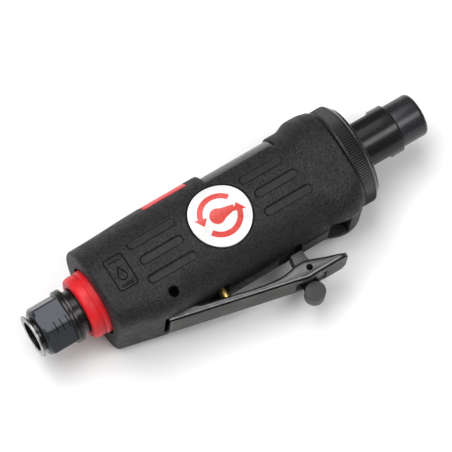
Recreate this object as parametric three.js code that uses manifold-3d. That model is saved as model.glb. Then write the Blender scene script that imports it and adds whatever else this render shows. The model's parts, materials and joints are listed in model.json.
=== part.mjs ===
// Pneumatic mini die grinder, millimetres. It is laid out in a tool frame, x from the air inlet end to
// the nose and z up to the spine, and then laid on its flat side.
import * as THREE from 'three';
import { mergeVertices } from 'three/addons/utils/BufferGeometryUtils.js';
import Module from 'manifold-3d';

const wasm = await Module();
wasm.setup();

// Driving dimensions
const LENGTH = 173.5; // inlet flange to collet nut
const GRIP_START = 27;
const GRIP_END = 135;
const SIDE_REACH = 21.4; // axis to the flat sides
const SIDE_TAPER = THREE.MathUtils.degToRad(6.5); // the flat sides close in towards the keel
const HOUSING_BORE = 17.4; // inside the grip
const MOTOR_OUTER = 17.2; // motor housing and valve body
const MOTOR_INNER = 15.8;
const LINER_OUTER = 15.6;
const GAP = 0.3; // between pieces that touch on the real tool
const LEVER_PIVOT = { x: 51.1, z: -17 };
const LATCH_PIVOT = { x: 102.4, z: -32.8 };
const VALVE_X = 71;
const LEVER_HALF = 7.75;
const SHEET = 1.2;
const EMBLEM = { x: 81.5, z: -1, radius: 12.3 };
const SPINDLE_R = 10;
const ROTOR_R = 11.4;
const BORE_OFFSET = 1.2; // cylinder bore above the rotor's axis
const COUNT = { vanes: 5, balls: 8 };

// Materials
const finishes = {
  grip: [0x1c1c1e, 0.75, 0],
  blackSteel: [0x2a2b2d, 0.35, 0.8],
  satinBlack: [0x1f2022, 0.45, 0.5],
  steel: [0xb9bbbd, 0.35, 1],
  gunmetal: [0x6b6c6e, 0.4, 0.9],
  aluminium: [0xa9abad, 0.45, 0.9],
  brass: [0xb8953e, 0.3, 1],
  red: [0xd0121f, 0.45, 0],
  white: [0xf4f4f2, 0.35, 0],
  rubber: [0x161616, 0.85, 0],
  felt: [0x77736a, 0.95, 0],
  fibre: [0x6a4a2c, 0.7, 0],
};

function material(name) {
  const [color, roughness, metalness] = finishes[name];
  return new THREE.MeshStandardMaterial({ color, roughness, metalness });
}

// Solids
function solid(geometry) {
  const bare = geometry.clone();
  bare.deleteAttribute('normal');
  bare.deleteAttribute('uv');
  const welded = mergeVertices(bare, 1e-4);
  const corners = welded.index.array;
  const triVerts = [];
  for (let i = 0; i < corners.length; i += 3) {
    const [a, b, c] = corners.slice(i, i + 3);
    if (a !== b && b !== c && c !== a) {
      triVerts.push(a, b, c);
    }
  }
  const vertProperties = new Float32Array(welded.attributes.position.array);
  return new wasm.Manifold(new wasm.Mesh({ numProp: 3, vertProperties, triVerts: new Uint32Array(triVerts) }));
}

function geometryOf(body) {
  const { vertProperties, triVerts } = body.getMesh();
  const geometry = new THREE.BufferGeometry();
  geometry.setAttribute('position', new THREE.BufferAttribute(vertProperties, 3));
  geometry.setIndex(new THREE.BufferAttribute(triVerts, 1));
  geometry.computeVertexNormals();
  return geometry;
}

function piece(name, finish, body) {
  const mesh = new THREE.Mesh(geometryOf(body), material(finish));
  mesh.name = name;
  return mesh;
}

// A profile of [x, radius] points, turned about the tool's axis. It runs forwards along the outside.
function turned(profile, segments = 32) {
  const points = profile.map(([x, radius]) => new THREE.Vector2(radius, x));
  const geometry = new THREE.LatheGeometry(points, segments);
  geometry.rotateZ(-Math.PI / 2);
  return solid(geometry);
}

function rod(x0, x1, radius, segments = 32) {
  return turned([[x0, 0], [x0, radius], [x1, radius], [x1, 0]], segments);
}

function ring(x0, x1, inner, outer, segments = 32) {
  return turned([[x0, inner], [x0, outer], [x1, outer], [x1, inner], [x0, inner]], segments);
}

// The same about a line parallel to z at x, with [z, radius] points that run down along the outside
function turnedUp(profile, x, segments = 20) {
  const points = profile.map(([z, radius]) => new THREE.Vector2(radius, z)).reverse();
  const geometry = new THREE.LatheGeometry(points, segments);
  geometry.rotateX(Math.PI / 2);
  geometry.translate(x, 0, 0);
  return solid(geometry);
}

// A pin or hole across the tool
function cross(x, z, radius, y0, y1, segments = 20) {
  const geometry = new THREE.CylinderGeometry(radius, radius, y1 - y0, segments);
  geometry.translate(x, (y0 + y1) / 2, z);
  return solid(geometry);
}

function box(x0, x1, y0, y1, z0, z1) {
  const geometry = new THREE.BoxGeometry(x1 - x0, y1 - y0, z1 - z0);
  geometry.translate((x0 + x1) / 2, (y0 + y1) / 2, (z0 + z1) / 2);
  return solid(geometry);
}

// An outline in x and z, given thickness across the tool
function plate(outline, y0, y1, curveSegments = 8) {
  const geometry = new THREE.ExtrudeGeometry(outline, { depth: y1 - y0, bevelEnabled: false, curveSegments });
  geometry.rotateX(Math.PI / 2);
  geometry.translate(0, y1, 0);
  return solid(geometry);
}

// An outline in y and z, given length along the tool
function bar(outline, x0, x1) {
  const geometry = new THREE.ExtrudeGeometry(outline, { depth: x1 - x0, bevelEnabled: false, curveSegments: 8 });
  const ahead = new THREE.Vector3(1, 0, 0);
  const across = new THREE.Vector3(0, 1, 0);
  const up = new THREE.Vector3(0, 0, 1);
  geometry.applyMatrix4(new THREE.Matrix4().makeBasis(across, up, ahead));
  geometry.translate(x0, 0, 0);
  return solid(geometry);
}

function outlineOf(points) {
  return new THREE.Shape(points.map(([a, b]) => new THREE.Vector2(a, b)));
}

// A wedge of the tool's circle, centred on the spine
function spineWedge(x0, x1, halfAngle) {
  const reach = 40;
  const side = reach * Math.tan(halfAngle);
  return bar(outlineOf([[0, 0], [side, reach], [-side, reach]]), x0, x1);
}

function wire(points, radius, steps) {
  const section = new THREE.Shape();
  section.absarc(0, 0, radius, 0, 2 * Math.PI, false);
  const path = new THREE.CatmullRomCurve3(points);
  const options = { steps, extrudePath: path, bevelEnabled: false, curveSegments: 2 };
  return solid(new THREE.ExtrudeGeometry(section, options));
}

// Grip housing outline: a circle over a block with tapered flat sides and a round-cornered belly
function smooth(x, x0, x1) {
  return THREE.MathUtils.smoothstep(x, x0, x1);
}

function endRound(x) {
  const radius = 1.5;
  const rear = Math.max(0, 1 - (x - GRIP_START) / radius);
  const front = Math.max(0, 1 - (GRIP_END - x) / 1);
  return radius * (1 - Math.sqrt(1 - rear * rear)) + 0.6 * (1 - Math.sqrt(1 - front * front));
}

function spineRadius(x) {
  const collar = smooth(x, 120.5, 126);
  return 20.8 + 0.9 * smooth(x, 30, 60) - smooth(x, 112, 116) * (1 - collar) + 0.7 * collar - 0.8 * smooth(x, 130, 135);
}

function bellyDepth(x) {
  const heel = 4.4 * Math.max(0, (46 - x) / 18);
  const guard = 1.6 * smooth(x, 116, 127);
  const nose = 6 * (1 - Math.sqrt(Math.max(0, 1 - Math.max(0, (x - 126) / 9.3) ** 2)));
  return 22.6 - heel + 0.7 * smooth(x, 50, 62) + guard - nose;
}

// Round between flat side and belly
function cornerRadius(x) {
  return 9 + 7 * smooth(x, 50, 62) - 5 * smooth(x, 116, 125);
}

function gripReach(x, angle, inset) {
  const shrink = inset + endRound(x);
  const side = SIDE_REACH - shrink;
  const round = spineRadius(x) - shrink;
  const belly = bellyDepth(x) - shrink;
  const corner = cornerRadius(x);
  if (angle >= -SIDE_TAPER) {
    const share = Math.min(1, (angle + SIDE_TAPER) / (THREE.MathUtils.degToRad(60) + SIDE_TAPER));
    return round + ((side - round) * (1 + Math.cos(Math.PI * share))) / 2;
  }
  const cosT = Math.cos(SIDE_TAPER);
  const sinT = Math.sin(SIDE_TAPER);
  const cz = corner - belly;
  const cy = (side - corner + cz * sinT) / cosT;
  const sideEnd = Math.atan2(cz - corner * sinT, cy + corner * cosT);
  const bellyStart = Math.atan2(-belly, cy);
  if (angle > sideEnd) {
    return side / Math.cos(angle + SIDE_TAPER);
  }
  if (angle < bellyStart) {
    return belly / -Math.sin(angle);
  }
  const along = Math.cos(angle) * cy + Math.sin(angle) * cz;
  return along + Math.sqrt(along * along - cy * cy - cz * cz + corner * corner);
}

const GRIP_STATIONS = [27, 27.4, 28.5, 46, 52, 56, 62, 84, 112, 116, 119.5, 121.5, 124, 127, 130, 132.4, 134, 135];
const HALF_ANGLES = [-90, -78, -67, -57, -46, -35, -23, -6.5, 8, 24, 40, 58, 74, 90];

function gripForm(inset) {
  const right = HALF_ANGLES.map((degrees) => THREE.MathUtils.degToRad(degrees));
  const left = right.slice(1, -1).reverse();
  const positions = [];
  for (const x of GRIP_STATIONS) {
    for (const angle of right) {
      const reach = gripReach(x, angle, inset);
      positions.push(x, reach * Math.cos(angle), reach * Math.sin(angle));
    }
    for (const angle of left) {
      const reach = gripReach(x, angle, inset);
      positions.push(x, -reach * Math.cos(angle), reach * Math.sin(angle));
    }
  }
  const around = right.length + left.length;
  const rings = GRIP_STATIONS.length;
  positions.push(GRIP_START, 0, 0, GRIP_END, 0, 0);
  const triangles = [];
  for (let i = 0; i < rings - 1; i += 1) {
    for (let j = 0; j < around; j += 1) {
      const a = i * around + j;
      const b = i * around + ((j + 1) % around);
      triangles.push(a, b, a + around, b, b + around, a + around);
    }
  }
  for (let j = 0; j < around; j += 1) {
    const next = (j + 1) % around;
    const last = (rings - 1) * around;
    triangles.push(rings * around, next, j);
    triangles.push(rings * around + 1, last + j, last + next);
  }
  const geometry = new THREE.BufferGeometry();
  geometry.setAttribute('position', new THREE.Float32BufferAttribute(positions, 3));
  geometry.setIndex(triangles);
  return solid(geometry);
}

// A flush part of the grip's skin, between two insets, where it meets a cutter
function skin(cutter, outerInset, innerInset) {
  return gripForm(outerInset).subtract(gripForm(innerInset)).intersect(cutter);
}

const tool = new THREE.Group();

// Grip housing
const BELLY_CUT = -30;
const SLOT = { x0: 45, x1: 59.3, half: 8.2, top: -12.5 };
const slotCut = box(SLOT.x0, SLOT.x1, -SLOT.half, SLOT.half, BELLY_CUT, SLOT.top);
const WINDOW = { x0: 84.6, x1: 115.7, halfAngle: THREE.MathUtils.degToRad(50) };
const INLAY = { x0: 60, x1: 79, halfAngle: THREE.MathUtils.degToRad(34) };
const EMBLEM_RECESS = 0.8;

function gripHousing() {
  let body = gripForm(0);
  body = body.add(box(74, 119.6, -5, 5, -23.8, -19));
  body = body.subtract(rod(36.7, GRIP_END + 1, HOUSING_BORE));
  body = body.subtract(rod(GRIP_START - 1, 37, 14));
  body = body.subtract(slotCut);
  body = body.subtract(cross(LEVER_PIVOT.x, LEVER_PIVOT.z, 2, -25, 25, 16));
  body = body.subtract(box(59, 73.2, -8.2, 8.2, BELLY_CUT, -19.6));
  body = body.subtract(turnedUp([[-10, 0], [-10, 4.5], [-19.9, 4.5], [-19.9, 0]], VALVE_X));
  body = body.subtract(box(95, 105.6, -3.9, 3.9, BELLY_CUT, -18.6));
  body = body.subtract(box(99.4, 105, -6, 6, BELLY_CUT, -20.8));
  body = body.subtract(plate(outlineOf([[117, -24], [121.5, -20.2], [126.8, -20.2], [126.8, -30], [117, -30]]), -8, 8));
  body = body.subtract(spineWedge(WINDOW.x0, WINDOW.x1, WINDOW.halfAngle));
  const recesses = [];
  for (const y of [-30, 5]) {
    recesses.push(cross(EMBLEM.x, EMBLEM.z, EMBLEM.radius + 0.6, y, y + 25));
  }
  const shallow = gripForm(EMBLEM_RECESS + 0.6);
  for (const cutter of recesses) {
    body = body.subtract(cutter.subtract(shallow));
  }
  const inlayCutter = spineWedge(INLAY.x0 - GAP, INLAY.x1 + GAP, INLAY.halfAngle + 0.02);
  return body.subtract(inlayCutter.subtract(gripForm(1.4)));
}

tool.add(piece('grip_housing', 'grip', gripHousing()));
tool.add(piece('spine_inlay', 'red', skin(spineWedge(INLAY.x0, INLAY.x1, INLAY.halfAngle), 0.05, 1.1)));
for (const [side, y] of [['left', -30], ['right', 5]]) {
  const cutter = cross(EMBLEM.x, EMBLEM.z, EMBLEM.radius, y, y + 25);
  tool.add(piece(`emblem_disc_${side}`, 'white', skin(cutter, 0.2, EMBLEM_RECESS + 0.3)));
}

// Air inlet
const NECK_R = 9.05;
const NECK_END = 46;
const INLET_R = 6.1;
const O_RING_X = 42.5;

function airInlet() {
  const outline = [[0, INLET_R], [0, 8.7], [0.8, 8.7], [0.8, 7.9], [2.2, 7.9], [2.2, 8.6], [4.2, 10.5]];
  outline.push([14.2, 10.5], [14.2, 11], [17, 11], [17, NECK_R], [O_RING_X, NECK_R], [O_RING_X, 8.2]);
  outline.push([O_RING_X + 1.9, 8.2], [O_RING_X + 1.9, NECK_R], [NECK_END, NECK_R], [NECK_END, 4.5]);
  outline.push([15.8, 4.5], [15.8, INLET_R], [0, INLET_R]);
  const flats = new THREE.Shape();
  for (let i = 0; i < 6; i += 1) {
    const angle = (i * Math.PI) / 3 + THREE.MathUtils.degToRad(23);
    const reach = 9.3 / Math.cos(Math.PI / 6);
    flats.lineTo(reach * Math.cos(angle), reach * Math.sin(angle));
  }
  const body = turned(outline, 28);
  const around = ring(2.3, 14.1, 1, 14, 8).subtract(bar(flats, 2, 15));
  return body.subtract(around);
}

function inletScreen() {
  let body = rod(14.6, 15.4, 5.8, 24);
  const hole = rod(14, 16, 1, 10);
  body = body.subtract(hole);
  for (let i = 0; i < 6; i += 1) {
    const angle = (i * Math.PI) / 3;
    body = body.subtract(hole.translate([0, 3.5 * Math.cos(angle), 3.5 * Math.sin(angle)]));
  }
  return body;
}

tool.add(piece('air_inlet_bushing', 'satinBlack', airInlet()));
tool.add(piece('inlet_screen', 'steel', inletScreen()));
const inletSeal = [[O_RING_X + 0.3, 8.4], [O_RING_X + 0.5, 9.1], [O_RING_X + 1.3, 9.1], [O_RING_X + 1.5, 8.4]];
tool.add(piece('inlet_o_ring', 'rubber', turned([...inletSeal, inletSeal[0]], 24)));

// Exhaust
const deflector = [[20.2, 9.4], [20.2, 10.8], [20.9, 12], [22.4, 12.6], [24.8, 12.5], [25.6, 13.1],
  [28, 13.2], [29, 11.4], [31, 11.4], [31, 9.4], [20.2, 9.4]];
tool.add(piece('exhaust_ring', 'red', turned(deflector, 36)));
tool.add(piece('exhaust_baffle', 'steel', ring(31.4, 32, 9.4, 12.6, 24)));
tool.add(piece('exhaust_felt', 'felt', ring(32.4, 36.4, 9.5, 13.6, 24)));

// Valve body
const FEED_Z = -12;
const FEED_R = 1.8;

function valveBody() {
  let body = rod(37.1, 82, MOTOR_OUTER);
  body = body.subtract(rod(37, 46.4, 9.4));
  body = body.subtract(rod(46.3, VALVE_X, 4.5, 24));
  body = body.subtract(turnedUp([[20, 0], [20, 4.5], [-20, 4.5], [-20, 0]], VALVE_X));
  body = body.subtract(box(SLOT.x0, SLOT.x1, -SLOT.half, SLOT.half, BELLY_CUT, SLOT.top));
  body = body.subtract(cross(LEVER_PIVOT.x, LEVER_PIVOT.z, 2, -25, 25, 16));
  body = body.subtract(rod(VALVE_X, 83, FEED_R, 12).translate([0, 0, FEED_Z]));
  for (const side of [-1, 1]) {
    body = body.subtract(rod(37, 83, 2.2, 12).translate([0, 12 * side, 5]));
  }
  return body;
}

tool.add(piece('valve_body', 'aluminium', valveBody()));

// Throttle valve, standing on z at VALVE_X
const STEM_R = 1.8;
const bushing = turnedUp([[-6.2, 2.9], [-6.2, 4.2], [-19.6, 4.2], [-19.6, 2.1], [-15, 2.1], [-15, 2.9], [-6.2, 2.9]],
  VALVE_X);
const port = rod(VALVE_X, VALVE_X + 6, 1.5, 12).translate([0, 0, FEED_Z]);
tool.add(piece('valve_bushing', 'brass', bushing.subtract(port)));
const stem = [[0, 0], [0, 1.2], [-3.2, 1.2], [-3.2, 3.5], [-4.6, 3.5], [-4.6, STEM_R], [-16.6, STEM_R],
  [-16.6, 1.3], [-18.2, 1.3], [-18.2, STEM_R], [-27.4, STEM_R], [-27.9, 1.2], [-27.9, 0]];
tool.add(piece('valve_stem', 'brass', turnedUp(stem, VALVE_X)));
const seal = [[-4.9, 1.95], [-4.9, 3.6], [-5.9, 3.6], [-5.9, 1.95], [-4.9, 1.95]];
tool.add(piece('valve_seal', 'rubber', turnedUp(seal, VALVE_X)));
const stemRing = [[-16.9, 1.45], [-16.9, 1.95], [-17.9, 1.95], [-17.9, 1.45], [-16.9, 1.45]];
tool.add(piece('stem_o_ring', 'rubber', turnedUp(stemRing, VALVE_X)));

function coil(radius, z0, z1, turns, perTurn, place) {
  const points = [];
  for (let i = 0; i <= turns * perTurn; i += 1) {
    const angle = (2 * Math.PI * i) / perTurn;
    const height = z0 + ((z1 - z0) * i) / (turns * perTurn);
    points.push(place(radius * Math.cos(angle), radius * Math.sin(angle), height));
  }
  return points;
}

const valveCoil = coil(2.7, -2.3, 8.6, 5, 8, (a, b, h) => new THREE.Vector3(VALVE_X + a, b, h));
tool.add(piece('valve_spring', 'steel', wire(valveCoil, 0.45, 40)));
const cap = [[16.2, 0], [16.2, 4.2], [9.4, 4.2], [9.4, 0]];
tool.add(piece('valve_cap', 'brass', turnedUp(cap, VALVE_X)));

// Motor housing and clamp nut
const HOUSING_X = { x0: 82.9, x1: 134.7 };

function motorHousing() {
  const tube = ring(HOUSING_X.x0, HOUSING_X.x1, MOTOR_INNER, MOTOR_OUTER);
  const saddle = ring(WINDOW.x0 + GAP, WINDOW.x1 - GAP, MOTOR_INNER + 0.4, 19.9, 48);
  const wedge = spineWedge(WINDOW.x0, WINDOW.x1, WINDOW.halfAngle - 0.02);
  return tube.add(saddle.intersect(wedge));
}

tool.add(piece('motor_housing', 'satinBlack', motorHousing()));
const nut = [[124.7, 14], [124.7, 15.5], [135.3, 15.5], [135.3, 20.3], [136, 20.8], [140.9, 20.8], [142.2, 20],
  [143.5, 18.6], [143.9, 18], [143.9, 10.4], [134, 10.4], [134, 14], [124.7, 14]];
tool.add(piece('clamp_nut', 'satinBlack', turned(nut, 36)));
tool.add(piece('motor_gasket', 'fibre', ring(82.3, 82.7, 9.5, 15.4, 24).subtract(
  rod(82, 83, FEED_R + 0.3, 12).translate([0, 0, FEED_Z]))));

// Motor
const DOWEL = { y: 7, z: -11.7, radius: 1 };
const dowelHole = rod(80, 130, DOWEL.radius + GAP, 12).translate([0, DOWEL.y, DOWEL.z]);

function rearEndPlate() {
  const outline = [[83, 9.5], [83, LINER_OUTER], [89, LINER_OUTER], [89, 3.6], [88.2, 3.6], [88.2, 9.5], [83, 9.5]];
  const feed = rod(80, 90, FEED_R, 12).translate([0, 0, FEED_Z]);
  return turned(outline).subtract(feed).subtract(dowelHole);
}

function cylinderLiner() {
  let body = rod(89.3, 115, LINER_OUTER);
  body = body.subtract(rod(89, 116, 12.9).translate([0, 0, BORE_OFFSET]));
  for (const x of [94, 100, 106]) {
    body = body.subtract(box(x, x + 2, -5, 5, 10, 17));
  }
  return body.subtract(dowelHole);
}

const VANE = { thick: 1.3, foot: 5.2, tip: 11.1 };

function rotorBody() {
  let body = turned([[83.3, 0], [83.3, 3], [89.6, 3], [89.6, ROTOR_R], [114.7, ROTOR_R], [114.7, 5], [135.4, 5],
    [135.4, 0]], 40);
  const slot = box(89, 115, -(VANE.thick / 2 + 0.15), VANE.thick / 2 + 0.15, VANE.foot - GAP, 14);
  for (let i = 0; i < COUNT.vanes; i += 1) {
    body = body.subtract(slot.rotate([(360 * i) / COUNT.vanes, 0, 0]));
  }
  return body;
}

tool.add(piece('rear_end_plate', 'aluminium', rearEndPlate()));
tool.add(piece('cylinder_liner', 'steel', cylinderLiner()));
tool.add(piece('rotor', 'steel', rotorBody()));
for (let i = 0; i < COUNT.vanes; i += 1) {
  const vane = piece(`rotor_vane_${i + 1}`, 'fibre',
    box(89.9, 114.4, -VANE.thick / 2, VANE.thick / 2, VANE.foot, VANE.tip));
  vane.rotation.x = (2 * Math.PI * i) / COUNT.vanes;
  tool.add(vane);
}
const frontPlate = [[115.3, 5.8], [115.3, LINER_OUTER], [123.4, LINER_OUTER], [123.4, 11.3], [117, 11.3],
  [117, 5.8], [115.3, 5.8]];
tool.add(piece('front_end_plate', 'aluminium', turned(frontPlate).subtract(dowelHole)));
tool.add(piece('locating_dowel', 'steel', rod(84, 122, DOWEL.radius, 12).translate([0, DOWEL.y, DOWEL.z])));

// Bearings: two races, and the balls held in one cage
function bearing(end, x0, x1, inner, outer, ballR) {
  const middle = (inner + outer) / 2;
  const race = 0.55 * ballR;
  const centre = (x0 + x1) / 2;
  const innerTop = middle - race - 0.15;
  const outerFloor = middle + race + 0.15;
  const groove = ballR + 0.25;
  const hollow = (radius, towards) => [
    [centre - 0.9 * groove, radius], [centre - 0.45 * groove, radius + towards], [centre + 0.45 * groove,
      radius + towards], [centre + 0.9 * groove, radius]];
  const deep = ballR - race + 0.1;
  const innerRing = [[x0, inner], [x0, innerTop], ...hollow(innerTop, -deep), [x1, innerTop], [x1, inner], [x0, inner]];
  const outerRing = [[x0, outerFloor], [x0, outer], [x1, outer], [x1, outerFloor],
    ...hollow(outerFloor, deep).reverse(), [x0, outerFloor]];
  tool.add(piece(`${end}_bearing_inner_race`, 'steel', turned(innerRing, 20)));
  tool.add(piece(`${end}_bearing_outer_race`, 'steel', turned(outerRing, 20)));
  let balls = ring(centre - 0.6, centre + 0.6, middle - 0.35, middle + 0.35, 16);
  const ball = solid(new THREE.SphereGeometry(ballR, 7, 5)).translate([centre, middle, 0]);
  for (let i = 0; i < COUNT.balls; i += 1) {
    balls = balls.add(ball.rotate([(360 * i) / COUNT.balls, 0, 0]));
  }
  tool.add(piece(`${end}_bearing_ball_cage`, 'steel', balls));
}

bearing('rear', 83.3, 87.9, 3.2, 9.2, 1.6);
bearing('front', 117.3, 123.1, 5.2, 11, 1.6);
tool.add(piece('spindle_spacer', 'steel', ring(123.4, 125.7, 5.25, 7.2, 24)));
tool.add(piece('wave_washer', 'steel', ring(123.7, 124.4, 11.5, 14.6, 24)));
tool.add(piece('dust_seal', 'felt', ring(130, 133.6, 9, 13.7, 28)));

// Spindle, collet and nut
const COLLET_BORE = 3.05;

function spindleBody() {
  const outline = [[126, 5.3], [126, 8.6], [136.8, 8.6], [136.8, SPINDLE_R], [161.6, SPINDLE_R], [161.6, 6.2],
    [168, 6.2], [168, 5.5], [148, 4.3], [145.5, 4.3], [145.5, 0], [135.8, 0], [135.8, 5.3], [126, 5.3]];
  let body = turned(outline, 36);
  for (const side of [-1, 1]) {
    const flat = box(145.6, 156.3, -12, 12, side > 0 ? 9.2 : -12, side > 0 ? 12 : -9.2);
    body = body.subtract(flat.rotate([14, 0, 0]));
  }
  return body;
}

function colletBody() {
  const outline = [[147, COLLET_BORE], [147, 3.9], [148, 3.95], [168.4, 5.15], [171.4, 4], [171.4, COLLET_BORE],
    [147, COLLET_BORE]];
  const slit = box(152, 173, -0.3, 0.3, -7, 7);
  return turned(outline, 24).subtract(slit).subtract(slit.rotate([90, 0, 0]));
}

tool.add(piece('spindle', 'blackSteel', spindleBody()));
tool.add(piece('collet', 'steel', colletBody()));
const noseNut = [[161.9, 6.5], [161.9, 8.85], [171.7, 8.85], [172.7, 8.55], [173.3, 7.9], [LENGTH, 7.1],
  [LENGTH, 3.9], [171.9, 3.9], [168.8, 5.7], [168.4, 6.5], [161.9, 6.5]];
tool.add(piece('collet_nut', 'satinBlack', turned(noseNut, 28)));

// Throttle lever: side plates and web of one folded sheet, with an ear each side on the lever pin
const inside = LEVER_HALF - SHEET;
const leverSide = outlineOf([[46.2, -24.1], [100, -36.5], [116.6, -36.6], [118, -36.1], [118, -34.9], [115, -34],
  [109.8, -32.4], [104.6, -30], [102, -29.4], [98, -29.4], [90.6, -30.5], [78, -28.5], [59.2, -23.3],
  [55.2, -18], [54.6, -15.1], [52.6, -13.5], [49.6, -13.5], [47.6, -15.1], [46.6, -18]]);
const web = outlineOf([[46.2, -24.1], [100, -36.5], [116.6, -36.6], [118, -36.1], [118, -35.4], [100.1, -35.3],
  [46.2, -22.9]]);

function leverBody() {
  const pin = cross(LEVER_PIVOT.x, LEVER_PIVOT.z, 2, -10, 10, 16);
  const latchHole = cross(LATCH_PIVOT.x, LATCH_PIVOT.z, 1.3, -10, 10, 12);
  let body = plate(web, -LEVER_HALF, LEVER_HALF);
  body = body.add(plate(leverSide, -LEVER_HALF, -inside));
  body = body.add(plate(leverSide, inside, LEVER_HALF));
  body = body.subtract(box(96.4, 108, -4.2, 4.2, -38, -34));
  return body.subtract(pin).subtract(latchHole);
}

tool.add(piece('throttle_lever', 'gunmetal', leverBody()));
tool.add(piece('lever_pin', 'steel', cross(LEVER_PIVOT.x, LEVER_PIVOT.z, 1.7, -13.5, 13.5, 16)));

// Safety latch: tongue above the lever's web, thumb knob below
function latchOutline() {
  const knob = { x: 100.4, z: -40.9, radius: 4 };
  const outline = new THREE.Shape();
  outline.moveTo(99.6, -24.5);
  outline.lineTo(98.7, -29);
  outline.lineTo(98.2, -34.5);
  outline.lineTo(98.1, -37.6);
  outline.absarc(knob.x, knob.z, knob.radius, 1.9, 2 * Math.PI + 0.25, false);
  outline.lineTo(103.4, -37.6);
  outline.lineTo(103.6, -35);
  outline.lineTo(104.9, -32);
  outline.lineTo(104.5, -24.5);
  return outline;
}

const latchHalf = 3.5;
const latch = plate(latchOutline(), -latchHalf, latchHalf, 16)
  .subtract(cross(LATCH_PIVOT.x, LATCH_PIVOT.z, 1.3, -5, 5, 12));
tool.add(piece('safety_latch', 'gunmetal', latch));
tool.add(piece('latch_pin', 'steel', cross(LATCH_PIVOT.x, LATCH_PIVOT.z, 1, -7.2, 7.2, 12)));

function latchSpring() {
  const points = [new THREE.Vector3(93.5, -4.3, -33.4), new THREE.Vector3(98, -4.3, -34)];
  const spring = coil(1.9, -4.3, -6, 2, 8,
    (a, b, y) => new THREE.Vector3(LATCH_PIVOT.x - b, y, LATCH_PIVOT.z - a));
  return wire([...points, ...spring], 0.28, 30);
}

tool.add(piece('latch_spring', 'steel', latchSpring()));

// The tool lies on its flat side, centred over the origin
tool.rotation.x = SIDE_TAPER - Math.PI / 2;
const dieGrinder = new THREE.Group();
dieGrinder.add(tool);
const bounds = new THREE.Box3().setFromObject(dieGrinder, true);
const middle = bounds.getCenter(new THREE.Vector3());
tool.position.set(-middle.x, -middle.y, -bounds.min.z);

export default dieGrinder;
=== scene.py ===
"""A pneumatic mini die grinder lying on its flat side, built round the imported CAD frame.

Shapes are laid out in a tool frame in millimetres: x from the air inlet to the nose, z up to the spine, the
lever below. TOOL carries them into the row frame in metres."""

import json
import math

import bmesh
import bpy
from mathutils import Matrix, Vector


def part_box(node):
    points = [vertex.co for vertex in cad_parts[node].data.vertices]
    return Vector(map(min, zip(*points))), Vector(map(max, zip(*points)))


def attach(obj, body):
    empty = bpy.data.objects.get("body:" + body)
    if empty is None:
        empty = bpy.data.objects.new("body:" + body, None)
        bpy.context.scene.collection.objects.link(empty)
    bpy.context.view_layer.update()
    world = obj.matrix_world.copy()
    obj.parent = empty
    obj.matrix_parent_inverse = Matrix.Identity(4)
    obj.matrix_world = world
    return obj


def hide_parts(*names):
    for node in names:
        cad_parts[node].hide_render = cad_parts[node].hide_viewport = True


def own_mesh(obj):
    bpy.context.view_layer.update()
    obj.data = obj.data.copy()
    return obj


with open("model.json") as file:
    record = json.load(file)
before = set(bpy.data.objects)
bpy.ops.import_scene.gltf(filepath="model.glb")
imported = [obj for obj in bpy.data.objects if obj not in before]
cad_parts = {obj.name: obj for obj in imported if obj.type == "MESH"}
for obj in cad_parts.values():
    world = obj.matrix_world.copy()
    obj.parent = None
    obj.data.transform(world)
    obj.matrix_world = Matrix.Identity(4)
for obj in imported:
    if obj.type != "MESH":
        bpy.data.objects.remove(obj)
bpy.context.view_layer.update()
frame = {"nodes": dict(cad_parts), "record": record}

MM = 0.001
TAPER = math.radians(6.5)  # the flat sides close in towards the keel

nut_low, nut_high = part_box("collet_nut")
inlet_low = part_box("air_inlet_bushing")[0]
ORIGIN = Vector((inlet_low.x, (nut_low.y + nut_high.y) / 2, (nut_low.z + nut_high.z) / 2))
TOOL = Matrix.Translation(ORIGIN) @ Matrix.Rotation(TAPER - math.pi / 2, 4, "X") @ Matrix.Scale(MM, 4)


# ---------------------------------------------------------------- materials

WORN_POINTINESS = (0.505, 0.56)  # where edge wear starts, and where it is full


def material(name, colour, roughness, metallic=0.0):
    """A Principled material, returned with its node tree and shader."""
    mat = bpy.data.materials.new(name)
    mat.use_nodes = True
    tree = mat.node_tree
    shader = tree.nodes["Principled BSDF"]
    shader.inputs["Base Color"].default_value = (*colour, 1)
    shader.inputs["Roughness"].default_value = roughness
    shader.inputs["Metallic"].default_value = metallic
    return mat, tree, shader


def node(tree, kind, values=None, **settings):
    made = tree.nodes.new(kind)
    for key, value in settings.items():
        setattr(made, key, value)
    for key, value in (values or {}).items():
        made.inputs[key].default_value = value
    return made


def coordinates(tree, stretch=(1, 1, 1)):
    """Object coordinates, stretched, so that a pattern is in metres in the row frame."""
    source = node(tree, "ShaderNodeTexCoord")
    mapping = node(tree, "ShaderNodeMapping", {"Scale": stretch})
    tree.links.new(source.outputs["Object"], mapping.inputs["Vector"])
    return mapping.outputs["Vector"]


def noise(tree, scale, detail=3.0, stretch=(1, 1, 1)):
    made = node(tree, "ShaderNodeTexNoise", {"Scale": scale, "Detail": detail})
    tree.links.new(coordinates(tree, stretch), made.inputs["Vector"])
    return made.outputs["Fac"]


def cells(tree, scale, smoothness):
    values = {"Scale": scale, "Smoothness": smoothness}
    made = node(tree, "ShaderNodeTexVoronoi", values, feature="SMOOTH_F1")
    tree.links.new(coordinates(tree), made.inputs["Vector"])
    return made.outputs["Distance"]


def ranged(tree, value, low, high, start=0.0, end=1.0):
    values = {"From Min": start, "From Max": end, "To Min": low, "To Max": high}
    made = node(tree, "ShaderNodeMapRange", values)
    tree.links.new(value, made.inputs["Value"])
    return made.outputs["Result"]


def ramp(tree, value, stops):
    made = node(tree, "ShaderNodeValToRGB")
    elements = made.color_ramp.elements
    while len(elements) < len(stops):
        elements.new(0.5)
    for element, (place, colour) in zip(elements, stops):
        element.position = place
        element.color = (*colour, 1)
    tree.links.new(value, made.inputs["Fac"])
    return made.outputs["Color"]


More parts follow.
